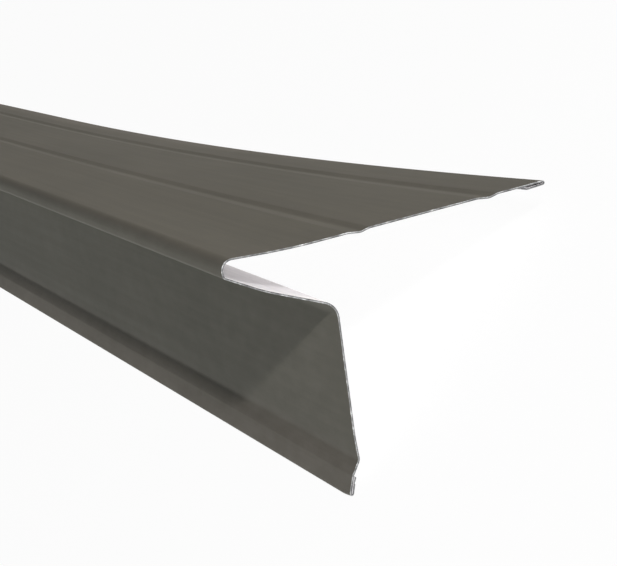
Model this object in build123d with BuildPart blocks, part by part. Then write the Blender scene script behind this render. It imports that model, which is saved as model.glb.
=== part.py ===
from build123d import *
import math
import os

# Roof drip edge: one strip of coated aluminium, folded along its whole length.
# The roof flange carries two stiffening ribs and ends in a hem. At the nose the strip turns down and
# back under the flange, in a return that is slightly bowed, then down again as the fascia face. The face
# turns in a little near its foot and ends in a hemmed kick that throws the water clear.
# X runs along the stock, with the sprung end at +X. The nose is towards -Y and the flange hem towards +Y.
# The strip lies on a level floor at Z = 0 as it comes to rest, on its kick and on its flange hem.

# The strip, millimetres. All sizes of the section are measured along the middle of the sheet.
stock_length = 3048.0
sheet = 0.5
hem_gap = 0.3

# Roof flange, measured from the corner above the nose to the outside of its fold
flange_width = 100.0
flange_hem = 6.0
flange_hem_opening = 3.0

# Stiffening ribs pressed into the flange: a long easy ramp down, then a short rise to the same level
rib_starts = (38.3, 79.0)
rib_ramp = 5.0
rib_rise = 1.7
rib_depth = 0.45

# Front, measured from corner to corner
nose_height = 5.1
return_depth = 34.1
return_bow_start = 12.0
face_height = 45.3
face_foot = 7.0
kick_lip = 5.0
kick_skirt = 6.1
kick_hem = 5.8

# Turns of the strip at its bends, degrees
nose_upper_bend = 96.8
nose_lower_bend = 60.6
return_bow = 6.5
back_bend = 68.7
face_turn = 3.7
kick_bend = 34.2
skirt_bend = 14.3

# Radius of the middle of the sheet at each bend
nose_upper_radius = 2.0
nose_lower_radius = 1.2
return_bow_radius = 60.0
back_radius = 5.3
face_turn_radius = 30.0
kick_radius = 2.4
rib_radius = 2.6

# The flange has sprung up at the +X end, by these turns at the end itself and by less and less further in:
# once at the nose, and again in a few soft bends side by side between the nose and the first rib.
# A trace of it runs along the whole stock, as the rolls leave it.
nose_spring = 4.1
soft_spring = 4.5
soft_bends = 3
soft_bend_start = 14.0
soft_bend_pitch = 6.0
sprung_length = 540.0
sprung_fading = 2.08
sprung_sections = 8
spring_trace = 0.02

fold_radius = (sheet + hem_gap) / 2
fold_reach = fold_radius + sheet / 2


def stepped(start, length, heading):
    """The point at a length and a heading from start, in degrees from the level of the flange."""
    return start + Vector(length, 0).rotate(Axis.Z, heading)


def flange_profile():
    """Distance from the nose, level and full spring at each corner of the flange, outwards to its fold."""
    profile = [(0, 0, nose_spring)]
    for count in range(soft_bends):
        profile.append((soft_bend_start + soft_bend_pitch * count, 0, soft_spring / soft_bends))
    for start in rib_starts:
        profile.append((start, 0, 0))
        profile.append((start + rib_ramp, -rib_depth, 0))
        profile.append((start + rib_ramp + rib_rise, 0, 0))
    profile.append((flange_width - fold_reach, 0, 0))
    return profile


def flange_corners(share):
    """Corners of the flange from the nose out to its fold, turned up by a share of the full spring."""
    profile = flange_profile()
    corners = [Vector(0, 0)]
    heading = 0
    for (near, near_level, spring), (far, far_level, _) in zip(profile, profile[1:]):
        heading += spring * share
        corners.append(corners[-1] + Vector(far - near, far_level - near_level).rotate(Axis.Z, heading))
    return corners


def flange_heading(share):
    """Direction of the flange where it reaches its fold, in degrees above its unsprung level."""
    return (nose_spring + soft_spring) * share


def front_corners():
    """Corners from the top of the nose down to the start of the kick's fold."""
    runs = (
        (nose_height, nose_lower_bend),
        (return_bow_start, return_bow),
        (return_depth - return_bow_start, -back_bend),
        (face_height - face_foot, face_turn),
        (face_foot, -kick_bend),
        (kick_lip, skirt_bend),
        (kick_skirt - fold_reach, 0),
    )
    corners = [Vector(0, 0)]
    heading = 180 + nose_upper_bend
    for length, turn in runs:
        corners.append(stepped(corners[-1], length, heading))
        heading += turn
    return corners


front_turns = nose_lower_bend + return_bow - back_bend + face_turn - kick_bend + skirt_bend
skirt_heading = 180 + nose_upper_bend + front_turns
tip_fold = stepped(flange_corners(spring_trace)[-1], fold_radius, flange_heading(spring_trace) - 90)
sprung_fold = stepped(flange_corners(1)[-1], fold_radius, flange_heading(1) - 90)
kick_fold = stepped(front_corners()[-1], fold_radius, skirt_heading + 90)

# The flange and the front meet halfway down the flat of the nose, between its two bends
upper_reach = nose_upper_radius * math.tan(math.radians(nose_upper_bend) / 2)
lower_reach = nose_lower_radius * math.tan(math.radians(nose_lower_bend) / 2)
nose_seam = stepped(Vector(0, 0), (nose_height + upper_reach - lower_reach) / 2, 180 + nose_upper_bend)

# The lean brings the two folds level, and the origin lies under the middle of the whole strip
foot_line = tip_fold - kick_fold
lean = -math.degrees(math.atan2(foot_line.Y, foot_line.X))
kick_foot = kick_fold.rotate(Axis.Z, lean)
sprung_foot = sprung_fold.rotate(Axis.Z, lean)
middle = (kick_foot.X + sprung_foot.X) / 2
across = Vector(0, 1, 0).rotate(Axis.X, lean)


def section_plane(x):
    """Plane across the stock at x, whose own axes are the flange's level line and its upward normal."""
    return Plane(origin=(x, -middle, fold_reach - kick_foot.Y), x_dir=across, z_dir=(1, 0, 0))


def flange_section(x, share):
    """The flange's section at x, from its hem to the seam, turned up by a share of its full spring."""
    with BuildSketch(section_plane(x)) as section:
        with BuildLine():
            flange = flange_corners(share)
            rib_bends = [rib_radius] * (3 * len(rib_starts))
            radii = rib_bends + [0] * soft_bends + [nose_upper_radius]
            FilletPolyline(*reversed(flange), nose_seam, radius=radii)

            level = flange_heading(share)
            turned_back = 180 - flange_hem_opening
            tip = JernArc(flange[-1], Vector(1, 0).rotate(Axis.Z, level), fold_radius, -turned_back)
            Line(tip @ 1, stepped(tip @ 1, flange_hem - fold_reach, level - turned_back))
            offset(amount=sheet / 2, kind=Kind.INTERSECTION)
        make_face()
    return section.sketch


def front_section(x):
    """The section at x of all that hangs from the seam: return, face and kick, with the kick's hem."""
    with BuildSketch(section_plane(x)) as section:
        with BuildLine():
            front = front_corners()
            return_bends = [nose_lower_radius, return_bow_radius, back_radius]
            face_bends = [face_turn_radius, kick_radius, kick_radius]
            FilletPolyline(nose_seam, *front[1:], radius=return_bends + face_bends)

            foot = JernArc(front[-1], Vector(1, 0).rotate(Axis.Z, skirt_heading), fold_radius, 180)
            Line(foot @ 1, stepped(foot @ 1, kick_hem - fold_reach, skirt_heading + 180))
            offset(amount=sheet / 2, kind=Kind.INTERSECTION)
        make_face()
    return section.sketch


end_x = stock_length / 2
straight_x = end_x - sprung_length

with BuildPart() as drip_edge:
    extrude(front_section(-end_x), amount=stock_length)
    extrude(flange_section(-end_x, spring_trace), amount=stock_length - sprung_length)
    sections = []
    for count in range(sprung_sections + 1):
        reach = count / sprung_sections
        share = spring_trace + (1 - spring_trace) * reach**sprung_fading
        sections.append(flange_section(straight_x + sprung_length * reach, share))
    loft(sections, ruled=True)

drip_edge.part.label = "drip_edge"

os.makedirs("parts", exist_ok=True)
export_step(drip_edge.part, "parts/drip_edge.step")
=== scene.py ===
import math

import bpy
from mathutils import Matrix, Vector


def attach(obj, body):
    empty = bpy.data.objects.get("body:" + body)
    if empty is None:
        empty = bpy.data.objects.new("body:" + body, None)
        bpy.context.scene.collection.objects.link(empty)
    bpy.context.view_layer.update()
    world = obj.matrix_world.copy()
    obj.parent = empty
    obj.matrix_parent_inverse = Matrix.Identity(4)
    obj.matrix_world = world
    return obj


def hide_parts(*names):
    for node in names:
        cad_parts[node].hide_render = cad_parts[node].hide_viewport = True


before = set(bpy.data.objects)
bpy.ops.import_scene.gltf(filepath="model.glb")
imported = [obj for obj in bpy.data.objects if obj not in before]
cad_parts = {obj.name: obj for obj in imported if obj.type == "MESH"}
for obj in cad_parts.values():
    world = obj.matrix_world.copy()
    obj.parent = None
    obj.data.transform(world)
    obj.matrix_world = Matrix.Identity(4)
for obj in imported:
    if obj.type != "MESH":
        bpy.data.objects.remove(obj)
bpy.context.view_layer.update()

# Sizes of the strip in millimetres and its turns in degrees, along the middle of the sheet. They are
# the solid's, apart from the nose's upper bend and the ribs, which follow the photo closer.
STOCK = 3048.0
SHEET = 0.5
FOLD_RADIUS = 0.4
FOLD_REACH = FOLD_RADIUS + SHEET / 2

FLANGE = 100.0
FLANGE_HEM = 6.0
HEM_OPENING = 3.0
RIB_STARTS = (37.3, 78.0)
RIB_RAMP = 4.0
RIB_RISE = 2.7
RIB_DEPTH = 0.6

NOSE_HEIGHT = 5.1
NOSE_SWELL = 0.6
RETURN_DEPTH = 34.1
BOW_START = 12.0
FACE_HEIGHT = 45.3
FACE_FOOT = 7.0
KICK_LIP = 5.0
KICK_SKIRT = 6.1
KICK_HEM = 5.8

NOSE_UPPER_BEND = 96.8
NOSE_LOWER_BEND = 60.6
RETURN_BOW = 6.5
BACK_BEND = 68.7
FACE_TURN = 3.7
KICK_BEND = 34.2
SKIRT_BEND = 14.3

NOSE_UPPER_RADIUS = 3.1
NOSE_LOWER_RADIUS = 1.2
BOW_RADIUS = 60.0
BACK_RADIUS = 5.3
FACE_TURN_RADIUS = 30.0
KICK_RADIUS = 2.4
RIB_RADIUS = 4.0
SOFT_RADIUS = 130.0

# How the flange has sprung up at the near end, as in the solid
NOSE_SPRING = 4.1
SOFT_SPRING = 4.5
SOFT_BENDS = 3
SOFT_START = 14.0
SOFT_PITCH = 6.0
SPRUNG = 540.0
FADING = 2.08
TRACE = 0.02

# Steps of the mesh: around a bend by its radius, around a fold, along the flats and the stock
BEND_STEPS = {
    NOSE_UPPER_RADIUS: 22,
    NOSE_LOWER_RADIUS: 12,
    BOW_RADIUS: 8,
    BACK_RADIUS: 18,
    FACE_TURN_RADIUS: 5,
    KICK_RADIUS: 9,
    RIB_RADIUS: 6,
    SOFT_RADIUS: 4,
}
FOLD_STEPS = 18
PITCH = 1.1
PITCH_SLACK = 0.01
PLAIN_STEPS = 16
SPRUNG_STEPS = 66
LAST_STATIONS = (6.0, 4.5, 3.2, 2.0, 1.0, 0.45, 0.0)
SHARP_ANGLE = 35

# The cut, in millimetres: how far it stands back, how much that wavers, and its nicks on each side
CUT_BACK = 0.06
CUT_WAVER = 0.05
WAVER_PACE = 0.9
COATED_SIDE, PRIMED_SIDE = -1, 1
NICKS = {COATED_SIDE: 0.3, PRIMED_SIDE: 0.08}
NICK_PACE = 1.9

# The knock that has lifted the kick's corner, in millimetres
KNOCK_LENGTH = 5.0
KNOCK_RISE = 0.4
KNOCK_SPREAD = 1.6

# Slots of the strip's materials
COATED, PRIMED, BARE = range(3)


def turned(x, y, angle):
    cosine, sine = math.cos(math.radians(angle)), math.sin(math.radians(angle))
    return Vector((cosine * x - sine * y, sine * x + cosine * y))


def heading_of(angle):
    return turned(1, 0, angle)


def flange_level(share):
    """Direction of the flange at its fold, with a share of its full spring."""
    return (NOSE_SPRING + SOFT_SPRING) * share


def flange_corners(share):
    """Corners of the flange from the nose out to its fold, and the radius of each bend between."""
    profile = [(-NOSE_SWELL, 0, NOSE_SPRING, NOSE_UPPER_RADIUS)]
    for count in range(SOFT_BENDS):
        distance = SOFT_START + SOFT_PITCH * count
        profile.append((distance, 0, SOFT_SPRING / SOFT_BENDS, SOFT_RADIUS))
    for start in RIB_STARTS:
        profile.append((start, 0, 0, RIB_RADIUS))
        profile.append((start + RIB_RAMP, -RIB_DEPTH, 0, RIB_RADIUS))
        profile.append((start + RIB_RAMP + RIB_RISE, 0, 0, RIB_RADIUS))
    profile.append((FLANGE - FOLD_REACH, 0, 0, 0))
    corners = [turned(-NOSE_SWELL, 0, NOSE_SPRING * share)]
    heading = 0
    for (near, near_level, spring, _), (far, far_level, _, _) in zip(profile, profile[1:]):
        heading += spring * share
        corners.append(corners[-1] + turned(far - near, far_level - near_level, heading))
    return corners, [radius for *_, radius in profile[:-1]]


def front_corners():
    """Corners from the top of the nose down to the start of the kick's fold."""
    runs = (
        (NOSE_HEIGHT, NOSE_LOWER_BEND),
        (BOW_START, RETURN_BOW),
        (RETURN_DEPTH - BOW_START, -BACK_BEND),
        (FACE_HEIGHT - FACE_FOOT, FACE_TURN),
        (FACE_FOOT, -KICK_BEND),
        (KICK_LIP, SKIRT_BEND),
        (KICK_SKIRT - FOLD_REACH, 0),
    )
    corners = [Vector((0, 0))]
    heading = 180 + NOSE_UPPER_BEND
    for length, turn in runs:
        corners.append(corners[-1] + length * heading_of(heading))
        heading += turn
    # The nose's lower corner goes out along the return, as far as its wall has moved out
    swell = NOSE_SWELL / math.sin(math.radians(NOSE_LOWER_BEND))
    corners[1] -= swell * heading_of(180 + NOSE_UPPER_BEND + NOSE_LOWER_BEND)
    return corners, heading


def run_between(start, end, heading, length):
    """Points along a straight run without its ends, as many as its nominal length calls for."""
    count = max(1, math.ceil(length / PITCH - PITCH_SLACK))
    return [(start.lerp(end, step / count), heading) for step in range(1, count)]


def rounded(corners, radii):
    """Points and headings along a line of corners, each of which is rounded by its radius."""
    legs = [far - near for near, far in zip(corners, corners[1:])]
    headings = [math.degrees(math.atan2(leg.y, leg.x)) for leg in legs]
    line = [(corners[0], headings[0])]
    bends = zip(legs, corners[1:-1], radii, headings, headings[1:])
    for leg, corner, radius, before, after in bends:
        turn = (after - before + 180) % 360 - 180
        side = 1 if turn >= 0 else -1
        reach = radius * math.tan(math.radians(abs(turn)) / 2)
        start = corner - reach * heading_of(before)
        centre = start + radius * heading_of(before + 90 * side)
        steps = BEND_STEPS[radius]
        line += run_between(line[-1][0], start, before, leg.length)
        for step in range(steps + 1):
            heading = before + turn * step / steps
            line.append((centre + radius * heading_of(heading - 90 * side), heading))
    line += run_between(line[-1][0], corners[-1], headings[-1], legs[-1].length)
    line.append((corners[-1], headings[-1]))
    return line


def fold_centre(share):
    """Middle of the fold at the flange's edge."""
    corners, _ = flange_corners(share)
    return corners[-1] + FOLD_RADIUS * heading_of(flange_level(share) - 90)


def flange_hem_line(share):
    """Middle of the sheet from the free edge of the flange's hem, around its fold."""
    centre = fold_centre(share)
    turn = 180 - HEM_OPENING
    fold = []
    for step in range(FOLD_STEPS + 1):
        heading = flange_level(share) - turn * step / FOLD_STEPS
        fold.append((centre + FOLD_RADIUS * heading_of(heading + 90), heading + 180))
    inner, back = fold[-1]
    edge = inner + (FLANGE_HEM - FOLD_REACH) * heading_of(flange_level(share) - turn)
    return [(edge, back)] + run_between(edge, inner, back, FLANGE_HEM) + fold[:0:-1]


def kick_hem_line(foot, skirt):
    """Middle of the sheet around the kick's fold, to the free edge of its hem."""
    centre = foot + FOLD_RADIUS * heading_of(skirt + 90)
    line = []
    for step in range(1, FOLD_STEPS + 1):
        heading = skirt + 180 * step / FOLD_STEPS
        line.append((centre + FOLD_RADIUS * heading_of(heading - 90), heading))
    inner, back = line[-1]
    edge = inner + (KICK_HEM - FOLD_REACH) * heading_of(back)
    return line + run_between(inner, edge, back, KICK_HEM) + [(edge, back)]


def middle_line(share):
    """Middle of the sheet, from the free edge of the flange's hem to that of the kick's hem."""
    flange, flange_radii = flange_corners(share)
    front, skirt = front_corners()
    return_radii = [NOSE_LOWER_RADIUS, BOW_RADIUS, BACK_RADIUS]
    face_radii = [FACE_TURN_RADIUS, KICK_RADIUS, KICK_RADIUS]
    radii = flange_radii[::-1] + return_radii + face_radii
    between = rounded(flange[::-1] + front[1:], radii)
    return flange_hem_line(share) + between + kick_hem_line(front[-1], skirt)


# The lean that brings the two folds level on the floor, and what the section turns around
front, skirt_heading = front_corners()
kick_fold = front[-1] + FOLD_RADIUS * heading_of(skirt_heading + 90)
foot_line = fold_centre(TRACE) - kick_fold
lean = -math.degrees(math.atan2(foot_line.y, foot_line.x))
kick_foot = turned(kick_fold.x, kick_fold.y, lean)
sprung_foot = turned(*fold_centre(1), lean)
middle = (kick_foot.x + sprung_foot.x) / 2


def placed(x, point):
    """A point of the section at x, in metres in the frame of the solid."""
    leaning = turned(point.x, point.y, lean)
    return Vector((x, leaning.x - middle, leaning.y - kick_foot.y + FOLD_REACH)) / 1000


def ripple(a, b):
    """A smooth irregular number between -1 and 1, the same in every run."""
    slow = math.sin(a * 1.7 + 2.3 * math.sin(b * 0.9))
    quick = math.sin(a * 4.1 + 1.3 + b)
    quickest = math.sin(a * 9.7 + 2.1 * b)
    return (slow + quick + quickest) / 3


def stations():
    """Distances of the sections from the sprung end, and the share of the spring at each."""
    plain = STOCK - SPRUNG
    distances = [SPRUNG + plain * (1 - step / PLAIN_STEPS) for step in range(PLAIN_STEPS)]
    distances += [SPRUNG * (1 - step / SPRUNG_STEPS) for step in range(SPRUNG_STEPS)]
    distances += LAST_STATIONS
    rows = []
    for distance in distances:
        reach = max(0.0, 1 - distance / SPRUNG)
        rows.append((distance, TRACE + (1 - TRACE) * reach ** FADING))
    return rows


def burr(index, side):
    """How far the cut stands back at a point of the section, with more and deeper nicks outside."""
    nick = max(0.0, ripple(index * NICK_PACE, 3 * side)) ** 2
    return CUT_BACK + CUT_WAVER * ripple(index * WAVER_PACE, side) + NICKS[side] * nick


def knocked_up(point, distance):
    """A point of the section where it lies after the knock on the kick's corner."""
    near = max(0.0, 1 - distance / KNOCK_LENGTH)
    low = max(0.0, 1 - (point - kick_fold).length / KICK_SKIRT)
    return point - KNOCK_RISE * near * min(1.0, KNOCK_SPREAD * low) * heading_of(skirt_heading)


def strip_points(rows):
    """Points of the strip by rows, coated side first, and for each whether it is on that side."""
    points, coated = [], []
    for distance, share in rows:
        line = middle_line(share)
        for side in (COATED_SIDE, PRIMED_SIDE):
            for index, (point, heading) in enumerate(line):
                x = STOCK / 2 - distance
                if distance == 0:
                    x -= burr(index, side)
                elif distance == STOCK:
                    x += burr(index + 0.5, side)
                point = point + SHEET / 2 * side * heading_of(heading + 90)
                points.append(placed(x, knocked_up(point, distance)))
                coated.append(1.0 if side == COATED_SIDE else 0.0)
    return points, coated


def strip_faces(row_count, width):
    """Faces of the two skins, the two slit edges and the two cut ends, and the finish of each."""
    faces, finishes = [], []
    step = 2 * width
    for row in range(row_count - 1):
        for index in range(width - 1):
            outer = row * step + index
            inner = outer + width
            faces.append((outer, outer + 1, outer + step + 1, outer + step))
            faces.append((inner, inner + step, inner + step + 1, inner + 1))
            finishes += [COATED, PRIMED]
        for index in (0, width - 1):
            slit = row * step + index
            quad = (slit, slit + step, slit + width + step, slit + width)
            faces.append(quad if index == 0 else quad[::-1])
            finishes.append(BARE)
    for row in (0, row_count - 1):
        for index in range(width - 1):
            cut = row * step + index
            quad = (cut, cut + width, cut + width + 1, cut + 1)
            faces.append(quad if row == 0 else quad[::-1])
            finishes.append(BARE)
    return faces, finishes


def strip_mesh():
    """The whole strip, with its coated, primed and bare faces."""
    rows = stations()
    points, coated = strip_points(rows)
    faces, finishes = strip_faces(len(rows), len(middle_line(TRACE)))
    mesh = bpy.data.meshes.new("coated_strip")
    mesh.from_pydata(points, [], faces)
    mesh.attributes.new("coated_side", "FLOAT", "POINT").data.foreach_set("value", coated)
    mesh.polygons.foreach_set("material_index", finishes)
    mesh.polygons.foreach_set("use_smooth", [True] * len(faces))
    mesh.update()
    mesh.validate()
    mesh.set_sharp_from_angle(angle=math.radians(SHARP_ANGLE))
    return mesh


class Nodes:
    """The nodes of a material or of the world, with short ways to add and join them."""

    def __init__(self, owner):
        owner.use_nodes = True
        self.tree = owner.node_tree

    def fill(self, socket, value):
        """Join a socket to what comes out of another node, or write a plain value in it."""
        if isinstance(value, bpy.types.NodeSocket):
            self.tree.links.new(value, socket)
        else:
            socket.default_value = value

    def add(self, kind, *values, **settings):
        """A new node, its sockets filled by name or in order, and its other settings written."""
        node = self.tree.nodes.new(f"ShaderNode{kind}")
        for name, value in settings.items():
            if name in node.inputs:
                self.fill(node.inputs[name], value)
            else:
                setattr(node, name, value)
        for socket, value in zip(node.inputs, values):
            self.fill(socket, value)
        return node

    def math(self, operation, *values):
        return self.add("Math", *values, operation=operation).outputs[0]

    def noise(self, place, scale, detail, roughness=0.5, along=1):
        """Noise in the strip's own frame, which changes along it by that share of the scale."""
        mapped = self.add("Mapping", Vector=place, Scale=(along, 1, 1)).outputs["Vector"]
        settings = {"Scale": scale, "Detail": detail, "Roughness": roughness}
        return self.add("TexNoise", Vector=mapped, **settings).outputs["Fac"]

    def ramp(self, source, *stops):
        """A colour over the source. A stop is a position and a colour, or a number for a grey."""
        ramp = self.add("ValToRGB", Fac=source)
        elements = ramp.color_ramp.elements
        while len(elements) < len(stops):
            elements.new(0.5)
        for element, (position, colour) in zip(elements, stops):
            element.position = position
            element.color = (*colour, 1) if isinstance(colour, tuple) else (*[colour] * 3, 1)
        return ramp.outputs["Color"]

    def times(self, first, second):
        """The product of two colours."""
        settings = {"data_type": "RGBA", "blend_type": "MULTIPLY", "clamp_result": False}
        mix = self.add("Mix", 1.0, **settings)
        self.fill(mix.inputs[6], first)
        self.fill(mix.inputs[7], second)
        return mix.outputs[2]

    def bumps(self, *heights):
        """Bumps one above the other: each is a height, its strength and its depth in metres."""
        normal = None
        for height, strength, depth in heights:
            bump = self.add("Bump", Strength=strength, Distance=depth, Height=height)
            if normal:
                self.fill(bump.inputs["Normal"], normal)
            normal = bump.outputs["Normal"]
        return normal

    def seen(self):
        """One for what the camera, gloss or glass sees, and nought for light that spreads."""
        path = self.add("LightPath").outputs
        straight = self.math("MAXIMUM", path["Is Camera Ray"], path["Is Glossy Ray"])
        return self.math("MAXIMUM", straight, path["Is Transmission Ray"])


def new_material(name):
    """A material, its nodes, and the place on the strip that its patterns go by."""
    material = bpy.data.materials.new(name)
    nodes = Nodes(material)
    return material, nodes, nodes.add("TexCoord").outputs["Object"]


def dress(nodes, **values):
    """Fill the sockets of a material's shader."""
    shader = nodes.tree.nodes["Principled BSDF"]
    for name, value in values.items():
        nodes.fill(shader.inputs[name.replace("_", " ")], value)


def coil_coating():
    """Low-gloss bronze paint: fine grain, faint mottle, streaks along the strip, and painted light
    low down, where the coating is made lighter as if lit by the floor.
    """
    material, nodes, place = new_material("bronze_coating")
    grain = nodes.noise(place, scale=900, detail=3, roughness=0.6)
    mottle = nodes.noise(place, scale=180, detail=4, roughness=0.6, along=0.5)
    cloud = nodes.noise(place, scale=26, detail=3, along=0.4)
    streak = nodes.noise(place, scale=420, detail=2, along=0.02)
    height = nodes.add("SeparateXYZ", place).outputs["Z"]
    colour = nodes.ramp(mottle, (0.3, (0.088, 0.0815, 0.0675)), (0.7, (0.106, 0.0985, 0.083)))
    clouds = nodes.ramp(cloud, (0.3, (0.93, 0.935, 0.93)), (0.7, (1.05, 1.045, 1.04)))
    streaks = nodes.ramp(streak, (0.35, 0.96), (0.65, 1.03))
    # Painted light: the coating is made about a quarter lighter within the lowest 4 mm, fading out
    # by 8 mm, in place of light bounced from the floor onto the parts near it.
    painted_floor_light = nodes.ramp(height, (0.004, (1.26, 1.23, 1.26)), (0.008, 1.0))
    for factors in (clouds, streaks, painted_floor_light):
        colour = nodes.times(colour, factors)
    sheen = nodes.ramp(mottle, (0.25, 0.52), (0.75, 0.62))
    relief = nodes.bumps((grain, 0.25, 0.00003), (cloud, 0.3, 0.0004))
    dress(nodes, Base_Color=colour, Roughness=sheen, Specular_IOR_Level=0.02, Normal=relief)
    return material


def primer():
    """Pale wash coat of the back, thinner in places."""
    material, nodes, place = new_material("pale_primer")
    mottle = nodes.noise(place, scale=240, detail=4, roughness=0.6, along=0.3)
    streak = nodes.noise(place, scale=300, detail=3, along=0.02)
    colour = nodes.ramp(mottle, (0.3, (0.61, 0.592, 0.597)), (0.7, (0.69, 0.671, 0.676)))
    colour = nodes.times(colour, nodes.ramp(streak, (0.35, 0.95), (0.65, 1.03)))
    relief = nodes.bumps((mottle, 0.2, 0.00005))
    dress(nodes, Base_Color=colour, Roughness=0.5, Specular_IOR_Level=0.3, Normal=relief)
    return material


# Shades of the cut edge over a sum: one beside the coating down to nought at the back, plus nicks
TORN_SHADES = ((1.5, 0.04), (2.0, 0.12), (2.4, 0.22), (2.75, 0.4), (3.0, 0.8))
TORN_SCALE = 0.33
NICK_DEPTH = 3.2


def bare_metal():
    """Cut edge: a bright shorn line beside the coating, a dark torn one behind, nicks in both."""
    material, nodes, place = new_material("bare_cut")
    coated = nodes.add("Attribute", attribute_name="coated_side").outputs["Fac"]
    nick = nodes.noise(place, scale=420, detail=4, roughness=0.7)
    fine = nodes.noise(place, scale=2600, detail=2, roughness=0.6)
    ragged = nodes.math("MULTIPLY_ADD", nick, NICK_DEPTH, coated)
    # The sum is scaled, since a ramp ends at one
    stops = [(level * TORN_SCALE, shade) for level, shade in TORN_SHADES]
    colour = nodes.ramp(nodes.math("MULTIPLY", ragged, TORN_SCALE), *stops)
    relief = nodes.bumps((nick, 0.5, 0.00015), (fine, 0.4, 0.00004))
    dress(nodes, Base_Color=colour, Metallic=0.5, Roughness=0.45, Normal=relief)
    return material


strip = bpy.data.objects.new("coated_strip", strip_mesh())
bpy.context.scene.collection.objects.link(strip)
for finish in (coil_coating(), primer(), bare_metal()):
    strip.data.materials.append(finish)

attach(strip, "root")
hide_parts("drip_edge")


FLOOR_REACH = 60.0
FLOOR_ALBEDO = 0.8
FLOOR_WHITE = 0.95
FLOOR_BOUNCE = 1.2
WORLD_LIGHT = 0.0
WHITE = (1, 1, 1, 1)


def white_paper():
    """Paper that looks nearly white, still takes the object's shadow, and lights it evenly."""
    material = bpy.data.materials.new("white_floor")
    nodes = Nodes(material)
    nodes.tree.nodes.remove(nodes.tree.nodes["Principled BSDF"])
    paper = nodes.add("BsdfDiffuse", Color=(FLOOR_ALBEDO, FLOOR_ALBEDO, FLOOR_ALBEDO, 1))
    glow = nodes.add("Emission", Color=WHITE, Strength=1.0)
    share = nodes.math("MULTIPLY", nodes.seen(), FLOOR_WHITE)
    look = nodes.add("MixShader", share, paper.outputs[0], glow.outputs[0])
    spread = nodes.add("LightPath").outputs["Is Diffuse Ray"]
    strength = nodes.math("MULTIPLY", spread, FLOOR_BOUNCE)
    bounce = nodes.add("Emission", Color=WHITE, Strength=strength)
    both = nodes.add("AddShader", look.outputs[0], bounce.outputs[0])
    nodes.fill(nodes.tree.nodes["Material Output"].inputs["Surface"], both.outputs[0])
    return material


def add_floor():
    corners = [(-1, -1), (1, -1), (1, 1), (-1, 1)]
    mesh = bpy.data.meshes.new("floor")
    points = [(FLOOR_REACH * x, FLOOR_REACH * y, 0) for x, y in corners]
    mesh.from_pydata(points, [], [(0, 1, 2, 3)])
    floor = bpy.data.objects.new("floor", mesh)
    floor.data.materials.append(white_paper())
    bpy.context.scene.collection.objects.link(floor)


def studio_world():
    """A backdrop that is white to the eye and in gloss; the lamps and the floor give the light."""
    world = bpy.data.worlds.new("studio")
    bpy.context.scene.world = world
    nodes = Nodes(world)
    plain = nodes.tree.nodes["Background"]
    nodes.fill(plain.inputs["Color"], WHITE)
    nodes.fill(plain.inputs["Strength"], WORLD_LIGHT)
    white = nodes.add("Background", Strength=1.0)
    mix = nodes.add("MixShader", nodes.seen(), plain.outputs[0], white.outputs[0])
    nodes.fill(nodes.tree.nodes["World Output"].inputs["Surface"], mix.outputs[0])


NEAR_END = (1.5, 0.0, 0.04)
SUN_DISTANCE = 4.0


def add_lamp(name, lamp, power, colour, direction, distance):
    """Hang a lamp in a direction from the near end, and aim it back at that end."""
    lamp.energy = power
    lamp.color = colour
    holder = bpy.data.objects.new(name, lamp)
    aim = Vector(direction).normalized()
    holder.location = Vector(NEAR_END) + aim * distance
    holder.rotation_euler = aim.to_track_quat("Z", "Y").to_euler()
    bpy.context.scene.collection.objects.link(holder)


def add_near_lamp(name, direction, distance, size, watts, colour):
    """A round lamp close by, which lights the near end the most."""
    lamp = bpy.data.lights.new(name, "AREA")
    lamp.shape = "DISK"
    lamp.size = size
    add_lamp(name, lamp, watts, colour, direction, distance)


def add_sun(name, direction, spread, strength, colour):
    """A lamp so far off that it lights the whole length alike, as wide as its spread in degrees."""
    lamp = bpy.data.lights.new(name, "SUN")
    lamp.angle = math.radians(spread)
    add_lamp(name, lamp, strength, colour, direction, SUN_DISTANCE)


CAMERA_PLACE = (2.03402, -0.08015, 0.25475)
CAMERA_FORWARD = (-0.92121, 0.12069, -0.36987)
CAMERA_RIGHT = (0.36595, 0.59156, -0.71843)
SENSOR_WIDTH = 36.0
FOCAL_PIXELS = 2000
IMAGE_WIDTH = 617
CLIP_END = 200.0


def add_camera():
    """The photo's camera, as it was solved from the edges of the section."""
    camera = bpy.data.objects.new("camera", bpy.data.cameras.new("camera"))
    camera.data.sensor_width = SENSOR_WIDTH
    camera.data.lens = SENSOR_WIDTH * FOCAL_PIXELS / IMAGE_WIDTH
    camera.data.clip_end = CLIP_END
    forward = Vector(CAMERA_FORWARD).normalized()
    right = Vector(CAMERA_RIGHT)
    right = (right - right.dot(forward) * forward).normalized()
    axes = Matrix((right, right.cross(forward), -forward)).transposed().to_4x4()
    camera.matrix_world = Matrix.Translation(CAMERA_PLACE) @ axes
    bpy.context.scene.collection.objects.link(camera)
    bpy.context.scene.camera = camera


add_floor()
studio_world()
add_near_lamp("end", (0.829, 0.118, 0.546), 0.9, 0.05, 5.6, (1.0, 0.99, 1.0))
add_sun("far_end", (0.833, 0.151, 0.532), 3.2, 1.3, (1.0, 0.99, 1.0))
add_sun("flange", (0.3, 0.93, 0.2), 17.0, 1.0, (1.0, 0.975, 0.82))
add_sun("face", (0.6, -0.8, 0.02), 15.0, 3.8, (0.86, 0.96, 1.0))
add_camera()
bpy.context.scene.view_settings.view_transform = "Standard"
